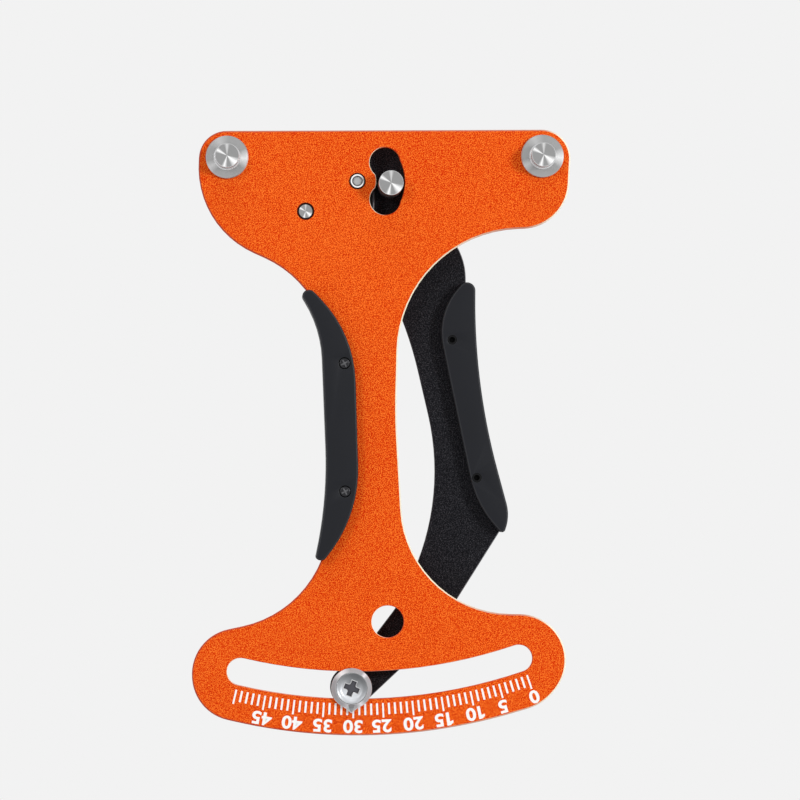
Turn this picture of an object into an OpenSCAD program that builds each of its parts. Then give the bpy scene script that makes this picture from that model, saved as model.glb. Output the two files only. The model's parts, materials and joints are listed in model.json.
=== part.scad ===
// Spoke tension meter. Drawn lying on its back with its face up: x to the right, y up the tool,
// z towards the user. It is then stood upright, with its face towards -Y and +Z up.
// The origin is the middle of the spoke's centre line, between the two fixed posts.

/* [Spoke seat] */
// Distance between the two fixed posts, centre to centre
post_span = 105.2; // [95:0.2:115]
// Diameter of the spoke that the posts are set for
spoke_d = 2; // [1.5:0.1:2.6]
// Diameter of a fixed post where the spoke bears on it
post_d = 8; // [7:0.1:9]
// Diameter of the moving post
moving_post_d = 8.2; // [7:0.1:8.4]
// How far the posts stand in front of the spoke's centre line
post_reach = 4.5; // [3:0.5:8]
// Distance from the face of the plate to the spoke's centre line
spoke_stand = 4.5; // [4:0.5:7]
// Diameter of a fixed post's flange
flange_d = 14.2; // [12:0.1:15]
// Thickness of that flange
flange_t = 1.6; // [1:0.1:2]

/* [Plates] */
// Thickness of the front plate
plate_t = 3; // [2.5:0.5:4]
// Gap between the front plate and the arm
plate_gap = 8; // [8:0.5:10]
// Thickness of the swinging arm
arm_t = 3; // [2.5:0.5:4]
// Diameter of the hole to hang the tool by
hang_d = 10.7; // [8:0.1:12]

/* [Pivot and pointer] */
// Pivot's place across the tool
pivot_x = -9.2; // [-9.4:0.1:-9]
// Pivot's place up the tool
pivot_y = -3.1; // [-3.3:0.1:-2.9]
// Diameter of the pivot bolt
pivot_d = 4.9; // [4:0.1:5]
// Distance from the pivot to the moving post
lever_r = 11.1; // [11:0.1:11.2]
// Direction of the moving post from the pivot, in degrees
lever_angle = -5.8; // [-8:0.1:-4]
// Distance from the pivot to the pointer
pointer_r = 169; // [168.8:0.1:169.1]
// Pointer's swing from straight down at rest, in degrees, to the right
pointer_angle = -0.95; // [-6:0.05:6]
// Diameter of the pointer disc
pointer_d = 13.5; // [12:0.1:14]

/* [Scale slot] */
// Radius of the slot's middle about the pivot
slot_r = 168; // [167.9:0.1:168.2]
// Width of the slot
slot_w = 9.1; // [9.1:0.1:9.4]
// Left end of the slot, in degrees from straight down
slot_left = -13.65; // [-14:0.05:-13.6]
// Right end of the slot, in degrees from straight down
slot_right = 18.4; // [18.35:0.05:18.8]

/* [Torsion spring] */
// Diameter of the spring wire
wire_d = 1.8; // [1.4:0.1:1.8]
// Radius of the coil at the middle of the wire
coil_r = 5.6; // [5.4:0.1:5.7]
// Whole turns before the last part turn
coil_turns = 2; // [1:1:2]

/* [Grips] */
// Thickness of one grip half over the plate
grip_h = 5.5; // [4:0.5:6]
// Diameter of the grip screws
grip_screw_d = 2; // [2:0.5:2.5]

/* [Hidden] */

fine = 64;            // facets of a turned piece
hex = 6;
eps = 0.01;           // how far a cutting tool runs past a face
slip = 0.05;          // radial clearance of a running fit
play = 0.1;           // end clearance between pieces that turn against each other

// Colours
orange = [0.93, 0.33, 0.07];
black = [0.09, 0.09, 0.1];
grip_grey = [0.15, 0.16, 0.17];
steel = [0.75, 0.76, 0.77];
brass = [0.75, 0.62, 0.3];
nylon = [0.88, 0.87, 0.82];

// Levels through the tool, from the user backwards
post_end = post_reach;
plate_face = -spoke_stand;
plate_back = plate_face - plate_t;
plate_middle = (plate_face + plate_back) / 2;
arm_face = plate_back - plate_gap;
arm_back = arm_face - arm_t;
arm_middle = (arm_face + arm_back) / 2;

// Places in the plane of the plate
pivot = [pivot_x, pivot_y];
post_y = (post_d + spoke_d) / 2;
spring_pin_at = [-26.5, -13.1];
hang_at = [0.2, -150];
moving_post_at = pivot + lever_r * [cos(lever_angle), sin(lever_angle)];
pointer_at = pivot + pointer_r * [sin(pointer_angle), -cos(pointer_angle)];

// Kidney slot that the moving post comes through
kidney_half_w = 4.8;
kidney_end_r = 5.15;
kidney_swing = 33.8;

// Corners of an outline: x, y and the radius that rounds the corner
plate_corners = [
    [62.6, 13.9, 9.5], [60.6, -18.6, 15.7], [5.2, -20.4, 41.8], [3.3, -81.4, 200], [6.7, -147, 37],
    [74.6, -148.5, 15.3], [52.4, -177.6, 17.2], [-4.2, -194, 184.3], [-64.2, -179.8, 15.1],
    [-66, -155, 15.2], [-18.7, -145.2, 36.6], [-19.5, -79, 200], [-18.8, -38.3, 35.9],
    [-63.9, -17.8, 31.3], [-61.2, 13.8, 9.3]
];
frame_grip_corners = [
    [-24.8, -39.3, 2.3], [-10.6, -54.2, 40.8], [-9.1, -115.2, 45.5], [-21.4, -129.9, 2.1],
    [-23.9, -128.9, 1.2], [-19.6, -109.5, 140], [-21.6, -51.9, 39], [-28.8, -40.2, 1.8]
];
arm_grip_corners = [
    [30.4, -32.2, 2.8], [29.8, -71, 215], [41.5, -115.3, 14.3],
    [39.2, -121.4, 1.1], [30.2, -111.9, 35.6], [17, -46.9, 22.2]
];

// The arm: a blade between a round head at the pivot and a round end under the pointer
arm_head_r = 14.5;
arm_head_at = pivot + [4.5, 0];
arm_end_r = 6.9;
arm_right_corners = [[27.3, -29.4, 21.4], [27.3, -72, 90], [38.8, -119.3, 5], [15.2, -156.3, 60]];
arm_left_corners = [[4.6, -143.9, 34], [20.7, -108.4, 84], [4.7, -38.1, 125]];
arm_left_foot = 88;   // where the left edge meets the round end, as an angle on it

// Pivot stack
pivot_hole_r = pivot_d / 2 + slip;
spacer_r = 3.9;
bush_r = 4;
bush_flange_r = 4.5;
bush_flange_t = 1;
thrust_r = 5.5;
thrust_t = 0.8;
pivot_head_r = 4.6;
pivot_head_t = 2.6;
pivot_proud = 0.9;
pivot_hex = 2.6;
edge_break = 0.3;     // chamfer on the end of a turned piece
hole_break = 0.45;    // chamfer round a hole in the plate

// Pins, posts and screws
collar_d = 8.9;
collar_t = 0.9;
spigot_r = 3;
screw_m4_r = 2;
button_r = 3.8;
button_t = 2.2;
button_hex = 2.5;
post_thread = 8;
spring_pin_r = 2.6;
peg_r = 2;            // where the spring's legs bear
peg_reach = 3.6;
arm_peg_angle = -62;
arm_peg_r = 17;

// Pointer stack
pointer_t = 2.6;
pointer_lift = 0.3;
pocket_r = 5.3;
pocket_t = 1.8;
nib_reach = 8.1;
nib_w = 5;
nib_t = 1.2;
dish_t = 0.7;
recess_w = 1.65;
recess_span = 5.4;
recess_turn = -22;
pointer_spacer_r = 3.4;
pointer_washer_r = 4.5;
pointer_washer_t = 0.8;
nut_m4_flats = 7;
nut_m4_t = 3.2;

// Grip fasteners
frame_grip_screws_at = [[-13.9, -64], [-13.9, -106.6]];
arm_grip_screws_at = [[22.4, -56], [30.4, -102.2]];
grip_screw_r = grip_screw_d / 2;
frame_grip_head_r = 2;
arm_grip_head_r = 1.6;
grip_head_t = 1.5;
grip_head_sink = 1.9;
grip_nut_flats = 4;
grip_nut_t = 1.6;
insert_r = 1.6;
insert_t = 4;

// ---- Outlines ----

function unit(v) = v / norm(v);

function wrap(a) = a - 360 * round(a / 360);

// How many steps an arc takes: 6 degrees each, or 4 mm on a wide one
function arc_steps(turn, r) = ceil(max(abs(turn) / 6, abs(turn) * PI / 180 * r / 4, 1));

function polar_angle(v) = atan2(v.y, v.x);

function arc(centre, r, start, turn) =
    let (n = arc_steps(turn, r))
    [for (i = [0:n]) centre + r * [cos(start + turn * i / n), sin(start + turn * i / n)]];

// The arc at corner p between neighbours a and b
function corner_arc(a, p, b, r) =
    let (
        u = unit(a - p),
        w = unit(b - p),
        half = acos(u * w) / 2,
        centre = p + unit(u + w) * r / sin(half),
        start = polar_angle(p + u * r / tan(half) - centre),
        end = polar_angle(p + w * r / tan(half) - centre)
    )
    arc(centre, r, start, wrap(end - start));

function flat(corner) = [corner.x, corner.y];

// Points of a closed outline
function outline(corners) =
    let (last = len(corners) - 1)
    [for (i = [0:last])
        let (before = corners[i == 0 ? last : i - 1], after = corners[i == last ? 0 : i + 1])
        each corner_arc(flat(before), flat(corners[i]), flat(after), corners[i][2])];

// At what angle a line from point p touches a circle, on its left (side 1) or its right (side -1)
function tangent_angle(p, centre, r, side) = polar_angle(p - centre) + side * acos(r / norm(p - centre));

// The rounded corners of an edge between two fixed points
function edge(start, corners, end) =
    let (all = concat([start], corners, [end]))
    [for (i = [1:len(corners)])
        each corner_arc(flat(all[i - 1]), flat(all[i]), flat(all[i + 1]), all[i][2])];

function on_circle(centre, r, a) = centre + r * [cos(a), sin(a)];

module upright() {
    rotate([90, 0, 0]) children();
}

module slab(from, to) {
    translate([0, 0, from]) linear_extrude(to - from) children();
}

module rod(at, r, from, to, sides = fine) {
    translate([at.x, at.y, from]) cylinder(h = to - from, r = r, $fn = sides);
}

module cone(at, r_from, r_to, from, to) {
    translate([at.x, at.y, from]) cylinder(h = to - from, r1 = r_from, r2 = r_to, $fn = fine);
}

// A hexagon prism across flats
module hexagon(at, flats, from, to) {
    rod(at, flats / sqrt(3), from, to, hex);
}

// A turned piece with its end edge broken
module turned(at, r, from, to) {
    rod(at, r, from, to - edge_break);
    cone(at, r, r - edge_break, to - edge_break, to);
}

// An arc slot about a centre, from one angle to another, both measured from straight down
module arc_slot(centre, r, half_w, end_r, from_angle, to_angle, low, high) {
    translate([centre.x, centre.y, low]) {
        rotate([0, 0, from_angle - 90])
            rotate_extrude(angle = to_angle - from_angle, $fn = 360)
                translate([r - half_w, 0]) square([2 * half_w, high - low]);
        for (a = [from_angle, to_angle])
            rotate([0, 0, a - 90]) translate([r, 0, 0]) cylinder(h = high - low, r = end_r, $fn = fine);
    }
}

// A solid between rings of points that all have the same count
module loft(rings) {
    n = len(rings[0]);
    top = len(rings) - 1;
    points = [for (ring = rings) each ring];
    sides = [for (k = [0:top - 1], i = [0:n - 1])
        let (j = (i + 1) % n, low = k * n, high = (k + 1) * n)
        each [[low + i, high + i, low + j], [low + j, high + i, high + j]]];
    caps = [[for (i = [0:n - 1]) i], [for (i = [n - 1:-1:0]) top * n + i]];
    polyhedron(points = points, faces = concat(sides, caps), convexity = 6);
}

// ---- Frame ----

module plate_blank() {
    slab(plate_back, plate_face) polygon(outline(plate_corners));
}

module chamfered_hole(at, r) {
    rod(at, r, plate_back - eps, plate_face + eps);
    cone(at, r, r + hole_break + eps, plate_face - hole_break, plate_face + eps);
}

module front_plate() {
    low = plate_back - 1;
    high = plate_face + 1;
    color(orange) upright() difference() {
        plate_blank();
        arc_slot(pivot, slot_r, slot_w / 2, slot_w / 2, slot_left, slot_right, low, high);
        arc_slot(pivot, lever_r, kidney_half_w, kidney_end_r, 90 - kidney_swing, 90 + kidney_swing, low, high);
        rod(hang_at, hang_d / 2, low, high);
        chamfered_hole(pivot, pivot_d / 2);
        chamfered_hole(spring_pin_at, spring_pin_r);
        for (side = [-1, 1]) rod([side * post_span / 2, post_y], spigot_r, low, high);
        for (at = frame_grip_screws_at) rod(at, grip_screw_r, low, high);
    }
}

// A fixed post: flange on the plate's face, collar, shank, and a spigot through the plate
module fixed_post(side) {
    at = [side * post_span / 2, post_y];
    flange_top = plate_face + flange_t;
    color(steel) upright() difference() {
        union() {
            rod(at, spigot_r, plate_back, plate_face);
            turned(at, flange_d / 2, plate_face, flange_top);
            rod(at, collar_d / 2, flange_top - eps, flange_top + collar_t);
            turned(at, post_d / 2, flange_top, post_end);
        }
        rod(at, screw_m4_r, plate_back - eps, plate_back + post_thread);
    }
}

module left_post() {
    fixed_post(-1);
}

module right_post() {
    fixed_post(1);
}

// A button-head screw that enters from behind, with its head under the given face
module rear_button(at, face, depth) {
    difference() {
        union() {
            rod(at, screw_m4_r, face - eps, face + depth);
            rod(at, button_r, face - 0.6 * button_t, face);
            cone(at, 0.6 * button_r, button_r, face - button_t, face - 0.6 * button_t);
        }
        hexagon(at, button_hex, face - button_t - eps, face - 0.35 * button_t);
    }
}

module post_screws() {
    color(steel) upright()
        for (side = [-1, 1]) rear_button([side * post_span / 2, post_y], plate_back, post_thread - 0.5);
}

// The pivot bolt enters from behind and ends just proud of the plate, with a hexagon socket
module pivot_bolt() {
    head_face = arm_back - play - thrust_t;
    tip = plate_face + pivot_proud;
    color(steel) upright() difference() {
        union() {
            turned(pivot, pivot_d / 2, head_face - eps, tip);
            rod(pivot, pivot_head_r, head_face - pivot_head_t, head_face);
        }
        hexagon(pivot, pivot_hex, tip - 1.6, tip + eps);
        hexagon(pivot, pivot_hex, head_face - pivot_head_t - eps, head_face - 0.9);
    }
}

module pivot_spacer() {
    color(steel) upright() difference() {
        rod(pivot, spacer_r, arm_face + bush_flange_t + play, plate_back);
        rod(pivot, pivot_d / 2, arm_face, plate_back + eps);
    }
}

module thrust_washer() {
    high = arm_back - play;
    color(nylon) upright() difference() {
        rod(pivot, thrust_r, high - thrust_t, high);
        rod(pivot, pivot_d / 2, high - thrust_t - eps, high + eps);
    }
}

module spring_pin() {
    color(steel) upright() {
        turned(spring_pin_at, spring_pin_r, plate_back, plate_face);
        rod(spring_pin_at, peg_r, plate_back - peg_reach, plate_back + eps);
    }
}

// ---- Torsion spring ----

arm_peg_at = pivot + arm_peg_r * [cos(arm_peg_angle), sin(arm_peg_angle)];
coil_pitch = wire_d + 0.45;
leg_overrun = 3;
rings_per_turn = 24;
wire_sides = 8;

// A leg passes its peg on the outside of a line that just touches the coil
function leg_lean(peg) = acos((coil_r + peg_r + wire_d / 2 + slip) / norm(peg - pivot));
function leg_length(peg) = sqrt(pow(norm(peg - pivot), 2) - pow(coil_r + peg_r + wire_d / 2 + slip, 2));

coil_start = polar_angle(spring_pin_at - pivot) + 360 - leg_lean(spring_pin_at);
coil_end = polar_angle(arm_peg_at - pivot) + leg_lean(arm_peg_at);
coil_sweep = coil_start - coil_end + 360 * coil_turns;
coil_front = (plate_back + arm_face + coil_pitch * coil_sweep / 360) / 2;

function coil_point(swept) =
    let (a = coil_start - swept)
    [
        pivot.x + coil_r * cos(a),
        pivot.y + coil_r * sin(a),
        coil_front - coil_pitch * swept / 360
    ];

// The wire from the tip of the fixed leg, round the coil, to the tip of the moving leg
function spring_path() =
    let (
        n = round(coil_sweep / 360 * rings_per_turn),
        fixed_len = leg_length(spring_pin_at) + leg_overrun,
        moving_len = leg_length(arm_peg_at) + leg_overrun,
        first = coil_point(0),
        last = coil_point(coil_sweep),
        fixed_way = [-sin(coil_start), cos(coil_start), 0],
        moving_way = [sin(coil_end), -cos(coil_end), 0]
    )
    concat(
        [for (t = [1, 0.5]) first + fixed_way * fixed_len * t],
        [for (i = [0:n]) coil_point(coil_sweep * i / n)],
        [for (t = [0.5, 1]) last + moving_way * moving_len * t]
    );

function wire_ring(path, i) =
    let (
        before = path[max(i - 1, 0)],
        after = path[min(i + 1, len(path) - 1)],
        along = unit(after - before),
        across = unit(cross(along, [0, 0, 1])),
        up = cross(across, along)
    )
    [for (k = [0:wire_sides - 1])
        let (a = -360 * k / wire_sides)
        path[i] + wire_d / 2 * (across * cos(a) + up * sin(a))];

// Least gap between parts of the wire that lie more than half a turn apart
function wire_gap(path) =
    min([for (i = [0:len(path) - 1], j = [i + rings_per_turn / 2:1:len(path) - 1]) norm(path[i] - path[j])])
    - wire_d;

module torsion_spring() {
    path = spring_path();
    echo(spring_least_gap = wire_gap(path));
    color(steel) upright() loft([for (i = [0:len(path) - 1]) wire_ring(path, i)]);
}

// ---- Grips ----

// One grip half, from the middle of the sheet it clamps to its own face
module grip_half(corners, low, high) {
    slab(low, high) polygon(outline(corners));
}

module frame_grip_front() {
    face = plate_face + grip_h;
    color(grip_grey) upright() difference() {
        grip_half(frame_grip_corners, plate_middle, face);
        plate_blank();
        for (at = frame_grip_screws_at) {
            rod(at, grip_screw_r, plate_back, face + eps);
            rod(at, frame_grip_head_r, face - grip_head_sink, face + eps);
        }
    }
}

module frame_grip_rear() {
    face = plate_back - grip_h;
    color(grip_grey) upright() difference() {
        grip_half(frame_grip_corners, face, plate_middle);
        plate_blank();
        for (at = frame_grip_screws_at) {
            rod(at, grip_screw_r, face - eps, plate_face);
            hexagon(at, grip_nut_flats, face - eps, face + grip_nut_t + 0.4);
        }
    }
}

// A small pan-head screw with a crossed recess; head towards the side named by way
module grip_screw(at, head_r, seat, tip, way) {
    top = seat + way * grip_head_t;
    difference() {
        union() {
            rod(at, grip_screw_r, min(seat, tip), max(seat, tip));
            rod(at, head_r - slip, min(seat, top), max(seat, top));
        }
        for (a = [0, 90])
            translate([at.x, at.y, top]) rotate([0, 0, a + 30]) cube([1.2 * head_r, 0.6, 1.6], center = true);
    }
}

module frame_grip_screws() {
    seat = plate_face + grip_h - grip_head_sink;
    color(black) upright()
        for (at = frame_grip_screws_at)
            grip_screw(at, frame_grip_head_r, seat, plate_back - grip_h + 0.4, 1);
}

module frame_grip_nuts() {
    low = plate_back - grip_h + 0.4;
    color(steel) upright() for (at = frame_grip_screws_at) difference() {
        hexagon(at, grip_nut_flats, low, low + grip_nut_t);
        rod(at, grip_screw_r, low - eps, low + grip_nut_t + eps);
    }
}

// ---- Arm ----

// From the head down the right edge, round the end and up the left edge
module arm_blank() {
    right_top = tangent_angle(flat(arm_right_corners[0]), arm_head_at, arm_head_r, 1);
    right_foot = tangent_angle(flat(arm_right_corners[3]), pointer_at, arm_end_r, -1);
    left_top = tangent_angle(flat(arm_left_corners[2]), arm_head_at, arm_head_r, -1);
    slab(arm_back, arm_face) polygon(concat(
        arc(arm_head_at, arm_head_r, left_top + 360, right_top - left_top - 360),
        edge(
            on_circle(arm_head_at, arm_head_r, right_top),
            arm_right_corners,
            on_circle(pointer_at, arm_end_r, right_foot)
        ),
        arc(pointer_at, arm_end_r, right_foot, arm_left_foot - right_foot - 360),
        edge(
            on_circle(pointer_at, arm_end_r, arm_left_foot),
            arm_left_corners,
            on_circle(arm_head_at, arm_head_r, left_top)
        )
    ));
}

module swing_arm() {
    low = arm_back - 1;
    high = arm_face + 1;
    color(black) upright() difference() {
        arm_blank();
        rod(pivot, bush_r, low, high);
        rod(moving_post_at, spigot_r, low, high);
        rod(arm_peg_at, peg_r, low, high);
        rod(pointer_at, screw_m4_r, low, high);
        for (at = arm_grip_screws_at) rod(at, grip_screw_r, low, high);
    }
}

module arm_bushing() {
    color(brass) upright() difference() {
        union() {
            rod(pivot, bush_r, arm_back, arm_face);
            rod(pivot, bush_flange_r, arm_face, arm_face + bush_flange_t);
        }
        rod(pivot, pivot_hole_r, arm_back - eps, arm_face + bush_flange_t + eps);
    }
}

module moving_post() {
    color(steel) upright() difference() {
        union() {
            turned(moving_post_at, moving_post_d / 2, arm_face, post_end);
            rod(moving_post_at, spigot_r, arm_back, arm_face + eps);
        }
        rod(moving_post_at, screw_m4_r, arm_back - eps, arm_back + post_thread);
    }
}

module moving_post_screw() {
    color(steel) upright() rear_button(moving_post_at, arm_back, post_thread - 0.5);
}

module arm_spring_pin() {
    color(steel) upright() turned(arm_peg_at, peg_r, arm_back, arm_face + peg_reach);
}

module arm_grip_front() {
    face = arm_face + grip_h;
    color(grip_grey) upright() difference() {
        grip_half(arm_grip_corners, arm_middle, face);
        arm_blank();
        for (at = arm_grip_screws_at) {
            rod(at, grip_screw_r, arm_back, face);
            rod(at, insert_r, face - insert_t, face + eps);
        }
    }
}

module arm_grip_rear() {
    face = arm_back - grip_h;
    color(grip_grey) upright() difference() {
        grip_half(arm_grip_corners, face, arm_middle);
        arm_blank();
        for (at = arm_grip_screws_at) {
            rod(at, grip_screw_r, face - eps, arm_face);
            rod(at, arm_grip_head_r, face - eps, face + grip_head_sink);
        }
    }
}

module arm_grip_screws() {
    seat = arm_back - grip_h + grip_head_sink;
    color(black) upright()
        for (at = arm_grip_screws_at)
            grip_screw(at, arm_grip_head_r, seat, arm_face + grip_h - 1.2, -1);
}

module arm_grip_inserts() {
    face = arm_face + grip_h;
    color(black) upright() for (at = arm_grip_screws_at) difference() {
        rod(at, insert_r, face - insert_t, face - 0.1);
        rod(at, grip_screw_r, face - insert_t - eps, face);
    }
}

// ---- Pointer ----

pointer_back = plate_face + pointer_lift;
pointer_face = pointer_back + pointer_t;

module pointer() {
    bevel = pointer_d / 2 - pocket_r - 0.1;
    color(steel) upright() difference() {
        union() {
            rod(pointer_at, pointer_d / 2, pointer_back, pointer_face - bevel);
            cone(pointer_at, pointer_d / 2, pocket_r + 0.1, pointer_face - bevel, pointer_face);
            translate([pointer_at.x, pointer_at.y, pointer_back])
                rotate([0, 0, pointer_angle])
                    linear_extrude(nib_t) polygon([[-nib_w / 2, -5], [nib_w / 2, -5], [0, -nib_reach]]);
        }
        rod(pointer_at, screw_m4_r, pointer_back - eps, pointer_face);
        rod(pointer_at, pocket_r, pointer_face - pocket_t, pointer_face + eps);
    }
}

// A broad screw with a dished face and a crossed recess, sunk in the pointer
module pointer_screw() {
    seat = pointer_face - pocket_t;
    rim = pocket_r - slip;
    color(steel) upright() difference() {
        union() {
            rod(pointer_at, rim, seat, pointer_face);
            rod(pointer_at, screw_m4_r, arm_back - pointer_washer_t - nut_m4_t - 0.6, seat + eps);
        }
        cone(pointer_at, 1.2, rim - 0.2, pointer_face - dish_t, pointer_face + eps);
        for (a = [0, 90])
            translate([pointer_at.x, pointer_at.y, pointer_face])
                rotate([0, 0, a + recess_turn]) cube([recess_span, recess_w, 3.4], center = true);
    }
}

module pointer_spacer() {
    color(steel) upright() difference() {
        rod(pointer_at, pointer_spacer_r, arm_face, pointer_back);
        rod(pointer_at, screw_m4_r, arm_face - eps, pointer_back + eps);
    }
}

module pointer_washer() {
    color(steel) upright() difference() {
        rod(pointer_at, pointer_washer_r, arm_back - pointer_washer_t, arm_back);
        rod(pointer_at, screw_m4_r, arm_back - pointer_washer_t - eps, arm_back + eps);
    }
}

module pointer_nut() {
    high = arm_back - pointer_washer_t;
    color(steel) upright() difference() {
        hexagon(pointer_at, nut_m4_flats, high - nut_m4_t, high);
        rod(pointer_at, screw_m4_r, high - nut_m4_t - eps, high + eps);
    }
}

front_plate();
left_post();
right_post();
post_screws();
pivot_bolt();
pivot_spacer();
thrust_washer();
spring_pin();
torsion_spring();
frame_grip_front();
frame_grip_rear();
frame_grip_screws();
frame_grip_nuts();
swing_arm();
arm_bushing();
moving_post();
moving_post_screw();
arm_spring_pin();
arm_grip_front();
arm_grip_rear();
arm_grip_screws();
arm_grip_inserts();
pointer();
pointer_screw();
pointer_spacer();
pointer_washer();
pointer_nut();
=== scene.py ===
import json
import math

import bmesh
import bpy
from mathutils import Matrix, Vector
from mathutils.geometry import tessellate_polygon


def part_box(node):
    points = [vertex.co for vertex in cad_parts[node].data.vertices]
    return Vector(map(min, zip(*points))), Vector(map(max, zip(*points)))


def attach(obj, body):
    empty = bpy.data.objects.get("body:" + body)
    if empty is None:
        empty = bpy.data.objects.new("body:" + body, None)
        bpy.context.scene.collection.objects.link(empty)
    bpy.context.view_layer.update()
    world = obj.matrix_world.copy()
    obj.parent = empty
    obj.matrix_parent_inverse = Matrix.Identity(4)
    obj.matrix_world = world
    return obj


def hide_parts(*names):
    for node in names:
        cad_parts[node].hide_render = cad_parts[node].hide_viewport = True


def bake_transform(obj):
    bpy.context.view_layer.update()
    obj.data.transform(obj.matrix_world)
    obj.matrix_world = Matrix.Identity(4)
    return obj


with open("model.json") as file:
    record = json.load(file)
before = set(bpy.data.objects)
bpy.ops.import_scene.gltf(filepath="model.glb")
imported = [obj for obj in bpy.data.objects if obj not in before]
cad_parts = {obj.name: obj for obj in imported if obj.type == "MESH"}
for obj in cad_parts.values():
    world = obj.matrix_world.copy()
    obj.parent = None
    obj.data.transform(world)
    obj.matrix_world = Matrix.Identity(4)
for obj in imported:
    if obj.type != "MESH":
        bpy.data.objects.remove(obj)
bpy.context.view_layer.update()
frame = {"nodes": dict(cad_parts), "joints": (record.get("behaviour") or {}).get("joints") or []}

mm = 0.001
fullTurn = 2 * math.pi
roundSides = 96
mergeDistance = 1e-6
smallBreak = 0.12       # edge of a turned piece where none is stated, and the ring next to its axis

print("frame loaded:", len(frame["nodes"]), "nodes")


# places that come from the frame, in millimetres

def nodeBox(node):
    low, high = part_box(node)
    return [v / mm for v in low], [v / mm for v in high]


def middle(node):
    low, high = nodeBox(node)
    return ((low[0] + high[0]) / 2, (low[2] + high[2]) / 2)


def depths(node):
    low, high = nodeBox(node)
    return low[1], high[1]


swing = frame["joints"][0]
pivot = (swing["pos_m"][0] / mm, swing["pos_m"][2] / mm)
plateFace, plateBack = depths("front_plate")
armFace, armBack = depths("swing_arm")
pointerAt = middle("pointer_spacer")


# node trees: a Wire is one output that can be used in sums, a Graph makes every other node

def feed(tree, item, socket):
    if isinstance(item, Wire):
        tree.links.new(item.socket, socket)
    elif isinstance(item, tuple) and len(item) == 3 and socket.type == "RGBA":
        socket.default_value = (*item, 1)
    else:
        socket.default_value = item


class Wire:
    def __init__(self, tree, socket):
        self.tree = tree
        self.socket = socket

    def join(self, operation, first, second=0.0):
        node = self.tree.nodes.new("ShaderNodeMath")
        node.operation = operation
        feed(self.tree, first, node.inputs[0])
        feed(self.tree, second, node.inputs[1])
        return Wire(self.tree, node.outputs[0])

    def clip(self, low=0.0, high=1.0):
        return self.join("MAXIMUM", self.join("MINIMUM", self, high), low)

    def sine(self):
        return self.join("SINE", self)

    def cosine(self):
        return self.join("COSINE", self)


def addOperators():
    operations = {"add": "ADD", "sub": "SUBTRACT", "mul": "MULTIPLY", "truediv": "DIVIDE", "pow": "POWER"}
    for name, operation in operations.items():
        setattr(Wire, f"__{name}__", lambda self, other, kind=operation: self.join(kind, self, other))
        setattr(Wire, f"__r{name}__", lambda self, other, kind=operation: self.join(kind, other, self))


addOperators()


def spaced(name):
    return "".join(" " + c if c.isupper() and i else c for i, c in enumerate(name))


def layStops(ramp, stops):
    while len(ramp.elements) < len(stops):
        ramp.elements.new(0.5)
    for element, (at, colour) in zip(ramp.elements, stops):
        element.position = at
        element.color = (*colour, 1) if isinstance(colour, tuple) else (colour, colour, colour, 1)


class Graph:
    def __init__(self, tree):
        self.tree = tree

    def add(self, kind, settings=None, output=0, **inputs):
        # an input named i3 is the fourth socket, any other is found by its name
        node = self.tree.nodes.new(kind)
        for name, value in (settings or {}).items():
            if name == "stops":
                layStops(node.color_ramp, value)
            else:
                setattr(node, name, value)
        for name, value in inputs.items():
            feed(self.tree, value, node.inputs[int(name[1:]) if name[1:].isdigit() else spaced(name)])
        return Wire(self.tree, node.outputs[output])

    def vector(self, x=0.0, y=0.0, z=0.0):
        return self.add("ShaderNodeCombineXYZ", X=x, Y=y, Z=z)

    def parts(self, vector):
        return [self.add("ShaderNodeSeparateXYZ", None, k, Vector=vector) for k in range(3)]

    def total(self, first, second):
        return self.add("ShaderNodeVectorMath", {"operation": "ADD"}, i0=first, i1=second)


class Finish(Graph):
    def __init__(self, name, **surface):
        self.material = bpy.data.materials.new(name)
        self.material.use_nodes = True
        super().__init__(self.material.node_tree)
        self.tree.nodes.clear()
        output = self.tree.nodes.new("ShaderNodeOutputMaterial")
        self.shader = self.tree.nodes.new("ShaderNodeBsdfPrincipled")
        self.tree.links.new(self.shader.outputs[0], output.inputs[0])
        self.set(**surface)

    def set(self, **surface):
        for name, value in surface.items():
            feed(self.tree, value, self.shader.inputs[spaced(name)])

    def noise(self, scale, detail=2, roughness=0.5, stretch=None):
        vector = self.add("ShaderNodeTexCoord", output="Object")
        if stretch:
            vector = self.add("ShaderNodeMapping", Vector=vector, Scale=stretch)
        return self.add(
            "ShaderNodeTexNoise", Vector=vector, Scale=scale, Detail=detail, Roughness=roughness,
        )

    def ramp(self, value, stops):
        return self.add("ShaderNodeValToRGB", {"stops": stops}, Fac=value)

    def mix(self, factor, first, second):
        return self.add("ShaderNodeMix", {"data_type": "RGBA"}, 2, i0=factor, i6=first, i7=second)

    def bump(self, height, distance):
        return self.add("ShaderNodeBump", Height=height, Distance=distance)

    def fromAxis(self):
        # how far round a turned piece's axis, from 0 to 1 starting at -X, and how far out in millimetres
        flat = self.add("ShaderNodeUVMap", {"uv_map": "axis"})
        across, up, _ = self.parts(flat)
        return up.join("ARCTAN2", up, across) / fullTurn + 0.5, (across * across + up * up) ** 0.5


# finishes

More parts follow.
